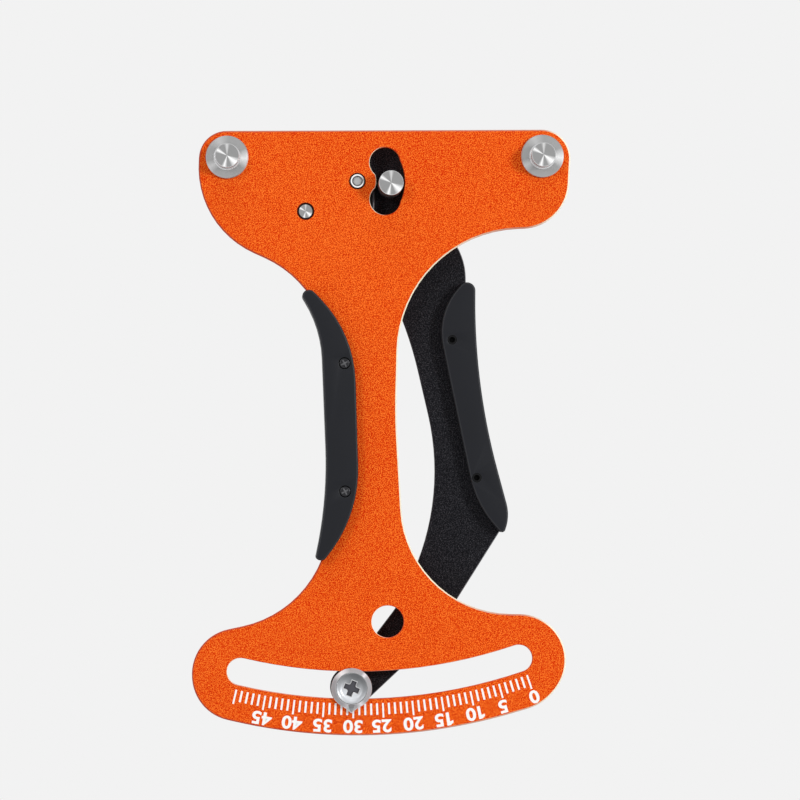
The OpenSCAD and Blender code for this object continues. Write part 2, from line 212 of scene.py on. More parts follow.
orangeLooks = {
    "dark": (0.55, 0.012, 0.0), "mid": (0.80, 0.067, 0.0008), "light": (1.0, 0.225, 0.027),
    "grain": 3300, "fineGrain": 6000, "spread": (0.42, 0.58), "roughness": 0.55, "bump": 0.02,
    "gloss": 0.03,
    # the edge colours are the painted shade and painted highlight of broken edges, and sunk is the painted shade
    # in the sunk holes
    "edgePaintedShade": (0.50, 0.042, 0.002), "edgePaintedHighlight": (1.0, 0.92, 0.68), "sunk": (0.06, 0.008, 0.003),
}
blackLooks = {
    "dark": (0.0008, 0.0009, 0.0018), "mid": (0.0020, 0.0022, 0.0042), "light": (0.085, 0.085, 0.095),
    "grain": 3300, "fineGrain": 6000, "spread": (0.42, 0.75), "roughness": 0.6, "bump": 0.02,
    "gloss": 0.07,
    "edgePaintedShade": (0.03, 0.03, 0.034), "edgePaintedHighlight": (0.16, 0.16, 0.17),
}


def blasted(name, looks):
    finish = Finish(name)
    finish.shader.inputs["Specular IOR Level"].default_value = looks["gloss"]
    coarse = finish.noise(looks["grain"], 1, 0.5)
    fine = finish.noise(looks["fineGrain"], 1, 0.5)
    cloud = finish.noise(26, 2, 0.5)
    grain = coarse * 0.7 + fine * 0.3
    tone = grain + (cloud - 0.5) * 0.03
    low, high = looks["spread"]
    finish.set(
        BaseColor=finish.ramp(tone, [(low, looks["dark"]), (0.5, looks["mid"]), (high, looks["light"])]),
        Roughness=looks["roughness"] + (grain - 0.5) * 0.4,
        Normal=finish.bump(grain, looks["bump"] * mm),
    )
    return finish.material


def brokenEdge(name, looks, roughness, metallic):
    # painted highlight and shade on a broken edge: facing right it is painted lighter, as if it caught the light;
    # how steeply, from where, and how unevenly
    slope, start, uneven = 1.7, 0.05, 0.2
    finish = Finish(name, Metallic=metallic)
    rub = finish.noise(900, 3, 0.6)
    facing = finish.add("ShaderNodeTexCoord", output="Normal")
    lit = (finish.parts(facing)[0] * slope + start + rub * uneven).clip()
    finish.set(
        BaseColor=finish.mix(lit, looks["edgePaintedShade"], looks["edgePaintedHighlight"]),
        Roughness=roughness + (rub - 0.5) * 0.25,
    )
    return finish.material


orangeFace = blasted("orangeBlasted", orangeLooks)
orangeEdge = brokenEdge("orangeBrokenEdge", orangeLooks, 0.4, 0.1)
blackFace = blasted("blackBlasted", blackLooks)
blackEdge = brokenEdge("blackBrokenEdge", blackLooks, 0.35, 0.6)

# painted light round a turned face, in degrees from +X towards +Z: highlights and shade laid into its colour where
# its fine rings would throw the light

def sectors(ground, *lit):
    # soft sectors of painted light and shade on an even ground; each is its direction, half its width and its
    # level
    stops = [(-180, ground), (180, ground)]
    for towards, halfWidth, level in lit:
        stops += [(towards - halfWidth, ground), (towards, level), (towards + halfWidth, ground)]
    return sorted(stops)


def oneSwing(low, high, towards):
    # a single soft swing of painted light, from dark to bright and back
    share = [(a, 0.5 + 0.5 * math.cos(math.radians(a - towards))) for a in range(-180, 181, 30)]
    return [(a, low + (high - low) * s) for a, s in share]


endLight = sectors(0.25, (-105, 15, 0.9), (-40, 30, 1.0), (90, 15, 0.6), (150, 15, 0.9))
flangeLight = sectors(0.3, (-150, 20, 0.5), (-5, 30, 0.8), (115, 30, 0.45))
boltLight = sectors(0.85, (10, 55, 0.2))
dishLight = oneSwing(0.15, 0.75, -110)
bevelLight = sectors(0.4, (-105, 15, 0.65), (-60, 15, 0.9), (45, 10, 0.9), (125, 30, 1.0))


def turnedSteel(name, light, calm=0.06, rings=0.18, fall=None, metallic=1.0, tint=(1.0, 1.0, 1.0)):
    # fall is two radii in millimetres and the share of the painted light left at the second, a painted shade
    # towards the outer edge
    finish = Finish(name, Metallic=metallic)
    around, radius = finish.fromAxis()
    groove = (radius * (fullTurn / rings)).sine()
    streak = finish.add("ShaderNodeTexNoise", {"noise_dimensions": "1D"}, W=radius, Scale=8, Detail=3)
    # painted light: the table's highlights and shade go round the axis into the colour
    glow = finish.ramp(around, [((a + 180) / 360, tuple(min(1.0, b * c) for c in tint)) for a, b in light])
    if fall:
        inner, outer, left = fall
        share = ((radius - inner) / (outer - inner)).clip() * (1 - left)
        glow = finish.mix(share, glow, (0.0, 0.0, 0.0))
    finish.set(
        BaseColor=finish.mix(streak * (2 * calm), glow, (0.56, 0.56, 0.57)),
        Roughness=0.26 + streak * 0.14,
        Normal=finish.bump(groove * 0.5 + streak, 0.0025 * mm),
    )
    return finish.material


# each turned face carries its painted light; the flange rim is a brighter copy of the flange's painted light
turnedEnd = turnedSteel("steelTurnedEnd", endLight)
turnedFlange = turnedSteel("steelTurnedFlange", flangeLight, 0.08, 0.22)
turnedBevelRim = turnedSteel("steelFlangeRim", [(a, min(1.0, b * 1.25)) for a, b in flangeLight], 0.15)
turnedBolt = turnedSteel("steelBoltEnd", boltLight)
# the pointer is a little cool, since the orange plate warms it
coolSteel = (0.95, 0.98, 1.03)
turnedDish = turnedSteel("steelDish", dishLight, 0.03, 0.18, (3.3, 5.2, 0.6), 0.3, coolSteel)
turnedBevel = turnedSteel("steelPointerBevel", bevelLight, 0.04, metallic=0.15, tint=coolSteel)


def steelWall(name, colour, roughness, scratch):
    finish = Finish(name, Metallic=1.0)
    lines = finish.noise(scratch, 3, 0.6, stretch=(1, 14, 1))
    smear = finish.noise(260, 2, 0.5)
    finish.set(
        BaseColor=finish.mix(lines, tuple(0.78 * c for c in colour), colour),
        Roughness=roughness + (smear - 0.5) * 0.2,
        Normal=finish.bump(lines, 0.006 * mm),
    )
    return finish.material


# copies of one steel: the rim a painted highlight, the socket, recess, nib and sunk ring darker for painted shade
steelFace = steelWall("steelPlainFace", (0.60, 0.60, 0.60), 0.32, 260)
steelSide = steelWall("steelTurnedSide", (0.50, 0.50, 0.50), 0.3, 260)
steelRim = steelWall("steelBrightRim", (0.72, 0.72, 0.73), 0.22, 400)
steelSocket = steelWall("steelSocketWall", (0.12, 0.12, 0.125), 0.42, 400)
steelFloor = steelWall("steelSocketFloor", (0.38, 0.38, 0.38), 0.38, 400)
steelRecess = steelWall("steelRecessFloor", (0.075, 0.075, 0.085), 0.45, 500)
steelNib = steelWall("steelNibRidge", (0.27, 0.27, 0.28), 0.35, 400)
steelShade = steelWall("steelSunkRing", (0.035, 0.03, 0.03), 0.5, 400)


def mixedMetal(name, dark, light, grain, roughness, stretch=None):
    finish = Finish(name, Metallic=1.0)
    rub = finish.noise(grain, 3, 0.6, stretch)
    finish.set(
        BaseColor=finish.mix(rub, dark, light),
        Roughness=roughness + rub * 0.15,
        Normal=finish.bump(rub, 0.006 * mm),
    )
    return finish.material


def plain(name, low, high, grain, roughness, depth, gloss):
    finish = Finish(name)
    finish.shader.inputs["Specular IOR Level"].default_value = gloss
    fine = finish.noise(grain, 2, 0.6)
    cloud = finish.noise(60, 2, 0.5)
    finish.set(
        BaseColor=finish.mix(fine * 0.7 + cloud * 0.3, low, high),
        Roughness=roughness + (fine - 0.5) * 0.18,
        Normal=finish.bump(fine, depth * mm),
    )
    return finish.material


springWire = mixedMetal("springWireOilTempered", (0.035, 0.035, 0.037), (0.085, 0.085, 0.088), 1500, 0.34)
brass = mixedMetal("brassTurned", (0.55, 0.36, 0.13), (0.78, 0.56, 0.24), 700, 0.28, (1, 6, 1))
blackOxide = mixedMetal("screwBlackOxide", (0.006, 0.006, 0.007), (0.05, 0.05, 0.054), 1700, 0.25)
# the grip screws' cross recess is flecked lighter: painted glints
oxideGlint = mixedMetal("screwRecess", (0.004, 0.004, 0.005), (0.22, 0.22, 0.23), 2600, 0.22)
insertBlack = plain("insertBlack", (0.0025, 0.0025, 0.003), (0.0055, 0.0055, 0.006), 1700, 0.5, 0.01, 0.1)
oxideShade = plain(
    "screwHoleShade", (0.0006, 0.0006, 0.0007), (0.0016, 0.0016, 0.0018), 1700, 0.7, 0.004, 0.05,
)
# painted shade: the chamfer and wall of the sunk holes round the pivot bolt and the spring pin are coloured dark
orangeSunk = plain(
    "orangeSunkEdge", orangeLooks["sunk"], tuple(1.6 * c for c in orangeLooks["sunk"]), 1700, 0.5, 0.004, 0.1,
)
nylon = plain("nylonWasher", (0.66, 0.65, 0.60), (0.76, 0.75, 0.70), 1200, 0.42, 0.01, 0.5)
gripPlastic = plain("gripMoulded", (0.0085, 0.0092, 0.0120), (0.0145, 0.0155, 0.0190), 3600, 0.5, 0.02, 0.12)
# a lighter copy of the grip plastic for the rounded edges: a painted highlight
gripEdge = plain("gripMouldedEdge", (0.014, 0.015, 0.018), (0.024, 0.025, 0.029), 3600, 0.42, 0.02, 0.2)
whitePrint = plain("scaleWhitePrint", (0.88, 0.87, 0.85), (0.98, 0.98, 0.97), 3200, 0.5, 0.004, 0.1)
print("finishes made:", len(bpy.data.materials))


# outlines are lists of x and z in millimetres

def circle(centre, radius, sides=roundSides, start=0):
    return [
        (centre[0] + radius * math.cos(start + fullTurn * i / sides),
         centre[1] + radius * math.sin(start + fullTurn * i / sides))
        for i in range(sides)
    ]


def hexagon(centre, flats, turnedBy=0):
    return circle(centre, flats / math.sqrt(3), 6, math.radians(turnedBy))


def spun(points, spin, centre=(0, 0)):
    cosine, sine = math.cos(spin), math.sin(spin)
    return [(centre[0] + x * cosine - z * sine, centre[1] + x * sine + z * cosine) for x, z in points]


def area(loop):
    return sum(a[0] * b[1] - b[0] * a[1] for a, b in zip(loop, loop[1:] + loop[:1])) / 2


def loopMiddle(loop):
    xs = [p[0] for p in loop]
    zs = [p[1] for p in loop]
    return ((min(xs) + max(xs)) / 2, (min(zs) + max(zs)) / 2)


def inset(loop, distance):
    # moves a loop to its left, which is into the material
    moved = []
    for before, here, after in zip(loop[-1:] + loop[:-1], loop, loop[1:] + loop[:1]):
        a = (Vector(here) - Vector(before)).normalized()
        b = (Vector(after) - Vector(here)).normalized()
        point = Vector(here) + Vector((-a.y - b.y, a.x + b.x)) * (distance / (1 + a.dot(b)))
        moved.append((point.x, point.y))
    return moved


def flatLoops(node, depth, tolerance=0.002):
    # outline and holes of a node's flat face at one depth, outline first
    mesh = bmesh.new()
    mesh.from_mesh(frame["nodes"][node].data)
    bmesh.ops.remove_doubles(mesh, verts=mesh.verts, dist=mergeDistance)
    flat = {f for f in mesh.faces if all(abs(v.co.y / mm - depth) < tolerance for v in f.verts)}
    after = {}
    for face in flat:
        for corner in face.loops:
            if not any(other in flat for other in corner.edge.link_faces if other is not face):
                after[corner.vert] = corner.link_loop_next.vert
    loops = []
    while after:
        first, here = after.popitem()
        chain = [first]
        while here is not first:
            chain.append(here)
            here = after.pop(here)
        loops.append([(v.co.x / mm, v.co.z / mm) for v in chain])
    mesh.free()
    loops.sort(key=lambda loop: -abs(area(loop)))
    return [loop if (area(loop) > 0) == (i == 0) else loop[::-1] for i, loop in enumerate(loops)]


class Shape:
    # rings of points at given depths, joined by bands and closed by caps
    def __init__(self, centre=(0, 0)):
        self.centre = centre
        self.points = []
        self.faces = []
        self.slots = []

    def ring(self, loop, depth):
        first = len(self.points)
        self.points += [(x, depth, z) for x, z in loop]
        return list(range(first, len(self.points)))

    def face(self, corners, slot):
        self.faces.append(tuple(corners))
        self.slots.append(slot)

    def band(self, front, back, slot=0):
        for i in range(len(front)):
            j = (i + 1) % len(front)
            self.face((front[i], back[i], back[j], front[j]), slot)

    def cap(self, rings, slot=0):
        order = [i for ring in rings for i in ring]
        flat = [[Vector((self.points[i][0], self.points[i][2], 0)) for i in ring] for ring in rings]
        for triangle in tessellate_polygon(flat):
            self.face([order[k] for k in triangle], slot)

    def fan(self, ring, depth, slot=0):
        self.points.append((self.centre[0], depth, self.centre[1]))
        pole = len(self.points) - 1
        for i in range(len(ring)):
            self.face((ring[i], ring[(i + 1) % len(ring)], pole), slot)

    def turn(self, profile, sides=roundSides, closed=False):
        # profile points are radius, depth and the slot of the band that follows
        rings = [self.ring(circle(self.centre, r, sides), y) for r, y, _ in profile]
        for k in range(len(profile) - 1):
            self.band(rings[k], rings[k + 1], profile[k][2])
        if closed:
            self.band(rings[-1], rings[0], profile[-1][2])
        return rings

    def build(self, name, materials, sharp=32):
        mesh = bpy.data.meshes.new(name)
        mesh.from_pydata([(x * mm, y * mm, z * mm) for x, y, z in self.points], [], self.faces)
        for material in materials:
            mesh.materials.append(material)
        mesh.polygons.foreach_set("material_index", self.slots)
        return linked(name, cleaned(mesh, sharp, self.centre))


def cleaned(mesh, sharp, centre=None):
    # welds a mesh, turns its faces outward, and lays out places about an axis where a centre is given
    work = bmesh.new()
    work.from_mesh(mesh)
    bmesh.ops.remove_doubles(work, verts=work.verts, dist=mergeDistance)
    bmesh.ops.recalc_face_normals(work, faces=work.faces)
    if centre:
        flat = work.loops.layers.uv.new("axis")
        for face in work.faces:
            for corner in face.loops:
                place = corner.vert.co / mm
                corner[flat].uv = (place.x - centre[0], place.z - centre[1])
    work.to_mesh(mesh)
    work.free()
    mesh.shade_smooth()
    mesh.set_sharp_from_angle(angle=math.radians(sharp))
    return mesh


def linked(name, data):
    piece = bpy.data.objects.new(name, data)
    bpy.context.scene.collection.objects.link(piece)
    return piece


def stand(piece, body, slotName, *nodes):
    if nodes:
        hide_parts(*nodes)
    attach(piece, body)
    return piece


def chamferEdge(size):
    return [(size, 0), (0, size)]


def roundEdge(radius, steps=5):
    # stations of a rounded edge: how far in, and how deep below the face
    return [
        (radius * (1 - math.sin(t)), radius * (1 - math.cos(t)))
        for t in (math.pi / 2 * i / steps for i in range(steps + 1))
    ]


def sheet(shape, loops, front, back, frontEdge, backEdge, slots=(0, 1, 0), pick=None):
    # a flat piece between two depths; an edge is its stations, or a function that gives each loop its own,
    # and pick may give a loop other slots
    frontRings = []
    backRings = []
    for i, loop in enumerate(loops):
        _, edgeSlot, wallSlot = (pick and pick(i, loop)) or slots
        near, far = (edge(i, loop) if callable(edge) else edge for edge in (frontEdge, backEdge))
        rings = [shape.ring(inset(loop, w), front + d) for w, d in near]
        rings += [shape.ring(inset(loop, w), back - d) for w, d in reversed(far)]
        for k in range(len(rings) - 1):
            shape.band(rings[k], rings[k + 1], wallSlot if k == len(near) - 1 else edgeSlot)
        frontRings.append(rings[0])
        backRings.append(rings[-1])
    shape.cap(frontRings, slots[0])
    shape.cap(backRings, slots[0])


def socket(shape, rim, loop, depth, floor, slots):
    # a straight-sided recess in a flat end, inside the ring round that end
    mouth = shape.ring(loop, depth)
    shape.cap([rim, mouth], slots[0])
    low = shape.ring(loop, floor)
    shape.band(mouth, low, slots[1])
    shape.cap([low], slots[2])


# node trees for what repeats or follows a path

def newTree(name, wanted):
    tree = bpy.data.node_groups.new(name, "GeometryNodeTree")
    for label, kind in wanted.items():
        tree.interface.new_socket(name=label, in_out="INPUT", socket_type="NodeSocket" + kind)
    tree.interface.new_socket(name="Geometry", in_out="OUTPUT", socket_type="NodeSocketGeometry")
    source = tree.nodes.new("NodeGroupInput")
    return Graph(tree), {label: Wire(tree, source.outputs[label]) for label in wanted}


def endTree(graph, geometry, materials):
    # the last nodes: instances made real, and the finish of each material slot
    last = graph.add("GeometryNodeRealizeInstances", Geometry=geometry)
    for k, material in enumerate(materials):
        if len(materials) == 1:
            last = graph.add("GeometryNodeSetMaterial", Geometry=last, Material=material)
            continue
        index = graph.add("GeometryNodeInputMaterialIndex")
        same = {"data_type": "INT", "operation": "EQUAL"}
        chosen = graph.add("FunctionNodeCompare", same, i2=index, i3=k)
        last = graph.add("GeometryNodeSetMaterial", Geometry=last, Selection=chosen, Material=material)
    result = graph.tree.nodes.new("NodeGroupOutput")
    graph.tree.links.new(last.socket, result.inputs[0])
    return graph.tree


def plainMesh(carrier, name):
    bpy.context.view_layer.update()
    evaluated = carrier.evaluated_get(bpy.context.evaluated_depsgraph_get())
    mesh = bpy.data.meshes.new_from_object(evaluated)
    mesh.name = name
    return mesh


def grow(tree, name, values):
    # runs a tree with its inputs set, and returns the plain mesh that it makes
    carrier = linked(name, bpy.data.meshes.new(name))
    modifier = carrier.modifiers.new(name, "NODES")
    modifier.node_group = tree
    for item in tree.interface.items_tree:
        if item.in_out == "INPUT":
            modifier[item.identifier] = values[item.name]
    mesh = plainMesh(carrier, name)
    bpy.data.objects.remove(carrier)
    return mesh


def repeatTree(materials):
    # copies of a template in a straight row
    graph, given = newTree("fastenerRow", {
        "Template": "Object", "Count": "Int", "First": "Vector", "Last": "Vector",
    })
    ends = {"i2": given["First"], "i3": given["Last"]}
    row = graph.add("GeometryNodeMeshLine", {"mode": "END_POINTS"}, i0=given["Count"], **ends)
    template = graph.add("GeometryNodeObjectInfo", None, "Geometry", i0=given["Template"], i1=True)
    copies = graph.add("GeometryNodeInstanceOnPoints", Points=row, Instance=template)
    return endTree(graph, copies, materials)


def repeat(name, template, materials, places):
    # places are x, depth and z of the first and the last copy
    first, last = (tuple(v * mm for v in place) for place in (places[0], places[-1]))
    values = {"Template": template, "Count": len(places), "First": first, "Last": last}
    mesh = grow(repeatTree(materials), name, values)
    bpy.data.objects.remove(template)
    return linked(name, mesh)


# front plate

plateLooks = {"edge": 0.42, "holeEdge": 0.14, "sunkEdge": 0.32, "sunkAt": [pivot, middle("spring_pin")]}


def makePlate():
    looks = plateLooks

    def isSunk(loop):
        return any(math.dist(loopMiddle(loop), other) < 0.5 for other in looks["sunkAt"])

    def frontEdge(i, loop):
        return chamferEdge(looks["edge"] if i == 0 else looks["sunkEdge" if isSunk(loop) else "holeEdge"])

    def backEdge(i, loop):
        return chamferEdge(looks["edge"] if i == 0 else looks["holeEdge"])

    # sunk holes take the painted shade on their chamfer and wall
    def pick(i, loop):
        return (0, 2, 2) if i and isSunk(loop) else None

    shape = Shape()
    sheet(shape, flatLoops("front_plate", plateBack), plateFace, plateBack, frontEdge, backEdge, pick=pick)
    piece = shape.build("frontPlate", [orangeFace, orangeEdge, orangeSunk])
    return stand(piece, "frame", "anodised_orange", "front_plate")


makePlate()
print("front plate made")


# scale: ticks along an arc about the pivot, and plain numbers that read from above the tool

scaleLooks = {
    "zeroAngle": 18.65,       # degrees to the right of straight down
    "step": 0.646,            # degrees for one unit
    "units": 50,
    "innerRadius": 174.15,
    "shortEnd": 177.95,
    "longEnd": 178.95,
    "shortWidth": 0.68,
    "longWidth": 0.6,
    "ink": 0.03,
    "numberRadius": 181.75,   # middle of the digits
    "numberHeight": 4.4,
    "numberBold": 0.03,
    "numberWiden": 1.13,
    "numberEvery": 5,
    "numberShift": {5: -0.65, 15: -0.45, 20: -0.35, 25: -0.8},  # millimetres to the right, as printed
    "spacing": 1.04,
    "oneSpacing": 0.88,
    "flag": (0.22, 0.17, 0.17),   # reach, drop and thickness of the stroke on a one, in heights of a digit
}


def tickTree():
    graph, given = newTree("scaleTicks", {
        "Count": "Int", "First": "Int", "Every": "Int", "Zero Angle": "Float", "Step": "Float",
        "Inner Radius": "Float", "Length": "Float", "Width": "Float", "Ink": "Float", "Pivot": "Vector",
    })
    index = graph.add("GeometryNodeInputIndex")
    angle = given["Zero Angle"] - (index * given["Every"] + given["First"]) * given["Step"]
    reach = given["Inner Radius"] + given["Length"] * 0.5
    spot = graph.vector(angle.sine() * reach, z=angle.cosine() * reach * -1.0)
    line = graph.add("GeometryNodeMeshLine", i0=given["Count"])
    marks = graph.add("GeometryNodeSetPosition", i0=line, i2=graph.total(spot, given["Pivot"]))
    size = graph.vector(given["Width"], given["Ink"], given["Length"])
    turned = graph.vector(y=angle * -1.0)
    mark = graph.add("GeometryNodeMeshCube", i0=size)
    placed = graph.add("GeometryNodeInstanceOnPoints", i0=marks, i2=mark, i5=turned)
    return endTree(graph, placed, [whitePrint])


def makeTicks():
    looks = scaleLooks
    every = looks["numberEvery"]
    tree = tickTree()
    runs = [(0, looks["units"] // every + 1, looks["longEnd"], looks["longWidth"])]
    runs += [(k, looks["units"] // every, looks["shortEnd"], looks["shortWidth"]) for k in range(1, every)]
    joined = bmesh.new()
    for first, count, end, width in runs:
        mesh = grow(tree, "scaleTicks", {
            "Count": count, "First": first, "Every": every,
            "Zero Angle": math.radians(looks["zeroAngle"]), "Step": math.radians(looks["step"]),
            "Inner Radius": looks["innerRadius"] * mm, "Length": (end - looks["innerRadius"]) * mm,
            "Width": width * mm, "Ink": looks["ink"] * mm,
            "Pivot": (pivot[0] * mm, (plateFace - looks["ink"] / 2) * mm, pivot[1] * mm),
        })
        joined.from_mesh(mesh)
        bpy.data.meshes.remove(mesh)
    mesh = bpy.data.meshes.new("scaleTicks")
    joined.to_mesh(mesh)
    joined.free()
    mesh.materials.append(whitePrint)
    stand(linked("scaleTicks", mesh), "frame", "scale_white")


def withFlag(mesh, low, high):
    # a slanting stroke on the left of a leading one
    reach, drop, thick = (share * (high - low) for share in scaleLooks["flag"])
    left = min(v.co.x for v in mesh.vertices) - 0.0005
    work = bmesh.new()
    work.from_mesh(mesh)
    corners = [
        (left - reach, high - drop), (left - reach, high - drop - thick),
        (left, high - drop - thick * 0.75), (left, high - 0.002),
    ]
    work.faces.new([work.verts.new((x, y, 0)) for x, y in corners])
    work.to_mesh(mesh)
    work.free()
    return mesh


def makeNumbers():
    looks = scaleLooks
    joined = bmesh.new()
    for value in range(0, looks["units"], looks["numberEvery"]):
        text = bpy.data.curves.new("number", "FONT")
        text.body = str(value)
        text.align_x = "CENTER"
        text.offset = looks["numberBold"]
        text.space_character = looks["oneSpacing" if text.body[0] == "1" else "spacing"]
        carrier = linked("number", text)
        mesh = plainMesh(carrier, "number")
        bpy.data.objects.remove(carrier)
        low = min(v.co.y for v in mesh.vertices)
        high = max(v.co.y for v in mesh.vertices)
        if text.body[0] == "1":
            mesh = withFlag(mesh, low, high)
        scale = looks["numberHeight"] * mm / (high - low)
        angle = math.radians(looks["zeroAngle"] - value * looks["step"])
        angle += looks["numberShift"].get(value, 0) / looks["numberRadius"]
        place = (
            (pivot[0] + looks["numberRadius"] * math.sin(angle)) * mm,
            (plateFace - looks["ink"]) * mm,
            (pivot[1] - looks["numberRadius"] * math.cos(angle)) * mm,
        )
        mesh.transform(Matrix.Translation((0, -(low + high) / 2, 0)))
        mesh.transform(Matrix.Diagonal((scale * looks["numberWiden"], scale, scale, 1)))
        mesh.transform(Matrix.Rotation(math.pi - angle, 4, "Y") @ Matrix.Rotation(math.pi / 2, 4, "X"))
        mesh.transform(Matrix.Translation(place))
        joined.from_mesh(mesh)
        bpy.data.meshes.remove(mesh)
    bmesh.ops.remove_doubles(joined, verts=joined.verts, dist=mergeDistance)
    skin = bmesh.ops.extrude_face_region(joined, geom=joined.faces[:])
    moved = [item for item in skin["geom"] if isinstance(item, bmesh.types.BMVert)]
    bmesh.ops.translate(joined, verts=moved, vec=(0, looks["ink"] * mm, 0))
    bmesh.ops.recalc_face_normals(joined, faces=joined.faces)
    mesh = bpy.data.meshes.new("scaleNumbers")
    joined.to_mesh(mesh)
    joined.free()
    mesh.shade_flat()
    mesh.materials.append(whitePrint)
    stand(linked("scaleNumbers", mesh), "frame", "scale_white")


makeTicks()
makeNumbers()
print("scale made")


# fixed posts: flange on the plate, collar, shank with a turned end

postLooks = {
    "flangeDepth": 1.6, "flangeRim": 0.3, "collarRadius": 4.45, "collarDepth": 0.9, "collarRim": 0.14,
    "flangeBand": 0.6, "shankRadius": 4.0, "endRim": 0.16, "spigotRadius": 3.0,
}


def makePost(name, node):
    looks = postLooks
    centre = middle(node)
    end, back = depths(node)
    low, high = nodeBox(node)
    flange = (high[0] - low[0]) / 2
    flangeTop = plateFace - looks["flangeDepth"]
    collarTop = flangeTop - looks["collarDepth"]
    shank = looks["shankRadius"]
    collar = looks["collarRadius"]
    rim = looks["endRim"]
    bead = looks["collarRim"]
    edge = looks["flangeRim"]
    shape = Shape(centre)
    rings = shape.turn([
        (smallBreak, end, 0), (shank * 0.5, end, 0), (shank - rim, end, 1), (shank, end + rim, 2),
        (shank, collarTop, 1), (collar - bead, collarTop, 1), (collar, collarTop + bead, 2),
        (collar, flangeTop, 3), (flange - edge - looks["flangeBand"], flangeTop, 3), (flange - edge, flangeTop, 4),
        (flange, flangeTop + edge, 2), (flange, plateFace - smallBreak, 2),
        (flange - smallBreak, plateFace, 2),
        (looks["spigotRadius"], plateFace, 2), (looks["spigotRadius"], back, 2),
    ])
    shape.fan(rings[0], end, 0)
    shape.fan(rings[-1], back, 2)
    piece = shape.build(name, [turnedEnd, steelRim, steelSide, turnedFlange, turnedBevelRim])
    return stand(piece, "frame", "stainless", node)


makePost("leftPost", "left_post")
makePost("rightPost", "right_post")


# moving post and the two spring pins

pinLooks = {
    "movingRadius": 4.1, "spigot": 3.0, "springHead": 2.6, "springRim": 0.38, "peg": 2.0, "rim": 0.16,
}


def makePin(name, node, body, rim, steps, rimFinish=steelRim):
    # a plain turned pin; steps are radius and depth from its shown end
    shape = Shape(middle(node))
    (radius, end), *rest = steps
    profile = [
        (smallBreak, end, 0), (radius * 0.5, end, 0), (radius - rim, end, 1), (radius, end + rim, 2),
    ]
    profile += [(r, y, 2) for r, y in rest]
    rings = shape.turn(profile)
    shape.fan(rings[0], end, 0)
    shape.fan(rings[-1], rest[-1][1], 2)
    return stand(shape.build(name, [turnedEnd, rimFinish, steelSide]), body, "stainless", node)


def makePins():
    looks = pinLooks
    end, back = depths("moving_post")
    makePin("movingPost", "moving_post", "arm", looks["rim"], [
        (looks["movingRadius"], end), (looks["movingRadius"], armFace), (looks["spigot"], armFace),
        (looks["spigot"], back),
    ])
    end, back = depths("spring_pin")
    makePin("springPin", "spring_pin", "frame", looks["springRim"], [
        (looks["springHead"], end), (looks["springHead"], plateBack), (looks["peg"], plateBack),
        (looks["peg"], back),
    ], steelShade)
    end, back = depths("arm_spring_pin")
    steps = [(looks["peg"], end), (looks["peg"], back)]
    makePin("armSpringPin", "arm_spring_pin", "arm", looks["rim"], steps)


makePins()
print("posts and pins made")


# pivot: bolt from behind, spacer, flanged bush and washer

pivotLooks = {
    "boltRadius": 2.45, "headRadius": 4.6, "headDepth": 2.6, "hex": 2.6, "hexDepth": 0.7, "rim": 0.22,
    "mouth": (1.6, 1.78, 0.15),   # radius at the hex, radius at the face, depth
    "headEdges": (0.15, 0.35), "headBand": 1.0,   # the broken edge under the head, and on top of it
    "headHex": 3.0, "headHexDepth": 1.7, "spacerRadius": 3.9, "bushRadius": 4.0, "bushFlange": 4.5,
    "bushBore": 2.5, "bushSoft": 0.15, "bushFlangeDepth": 1.0, "washerRadius": 5.5,
}


def makeBolt():
    looks = pivotLooks
    end, back = depths("pivot_bolt")
    radius = looks["boltRadius"]
    head = looks["headRadius"]
    headFace = back - looks["headDepth"]
    shape = Shape(pivot)
    under, top = looks["headEdges"]
    mouthRadius, faceRadius, mouthDepth = looks["mouth"]
    rings = shape.turn([
        (mouthRadius, end + mouthDepth, 3), (faceRadius, end, 5),
        (radius - looks["rim"], end, 6), (radius, end + looks["rim"], 2), (radius, headFace, 2),
        (head - under, headFace, 2), (head, headFace + under, 2), (head, back - top, 1),
        (head - top, back, 0), (head - looks["headBand"], back, 0),
    ])
    mouth = end + mouthDepth
    socket(shape, rings[0], hexagon(pivot, looks["hex"], 14), mouth, end + looks["hexDepth"], (3, 3, 4))
    floor = back - looks["headHexDepth"]
    socket(shape, rings[-1], hexagon(pivot, looks["headHex"]), back, floor, (0, 2, 3))
    piece = shape.build("pivotBolt", [
        steelFace, steelRim, steelSide, steelSocket, steelFloor, turnedBolt, steelShade,
    ])
    return stand(piece, "frame", "stainless", "pivot_bolt")


def makeRing(name, node, body, slotName, outer, bore, material, soft=0.15):
    front, back = depths(node)
    shape = Shape(middle(node))
    shape.turn([
        (bore + soft, front, 0), (outer - soft, front, 0), (outer, front + soft, 0),
        (outer, back - soft, 0), (outer - soft, back, 0), (bore + soft, back, 0), (bore, back - soft, 0),
        (bore, front + soft, 0),
    ], closed=True)
    return stand(shape.build(name, [material]), body, slotName, node)


def makeBush():
    looks = pivotLooks
    front, back = depths("arm_bushing")
    flangeBack = front + looks["bushFlangeDepth"]
    bore = looks["bushBore"]
    soft = looks["bushSoft"]
    flange = looks["bushFlange"]
    outer = looks["bushRadius"]
    shape = Shape(pivot)
    shape.turn([
        (bore + soft, front, 0), (flange - smallBreak, front, 0), (flange, front + smallBreak, 0),
        (flange, flangeBack, 0), (outer, flangeBack, 0), (outer, back, 0), (bore + soft, back, 0),
        (bore, back - soft, 0), (bore, front + soft, 0),
    ], closed=True)
    return stand(shape.build("armBushing", [brass]), "arm", "brass", "arm_bushing")


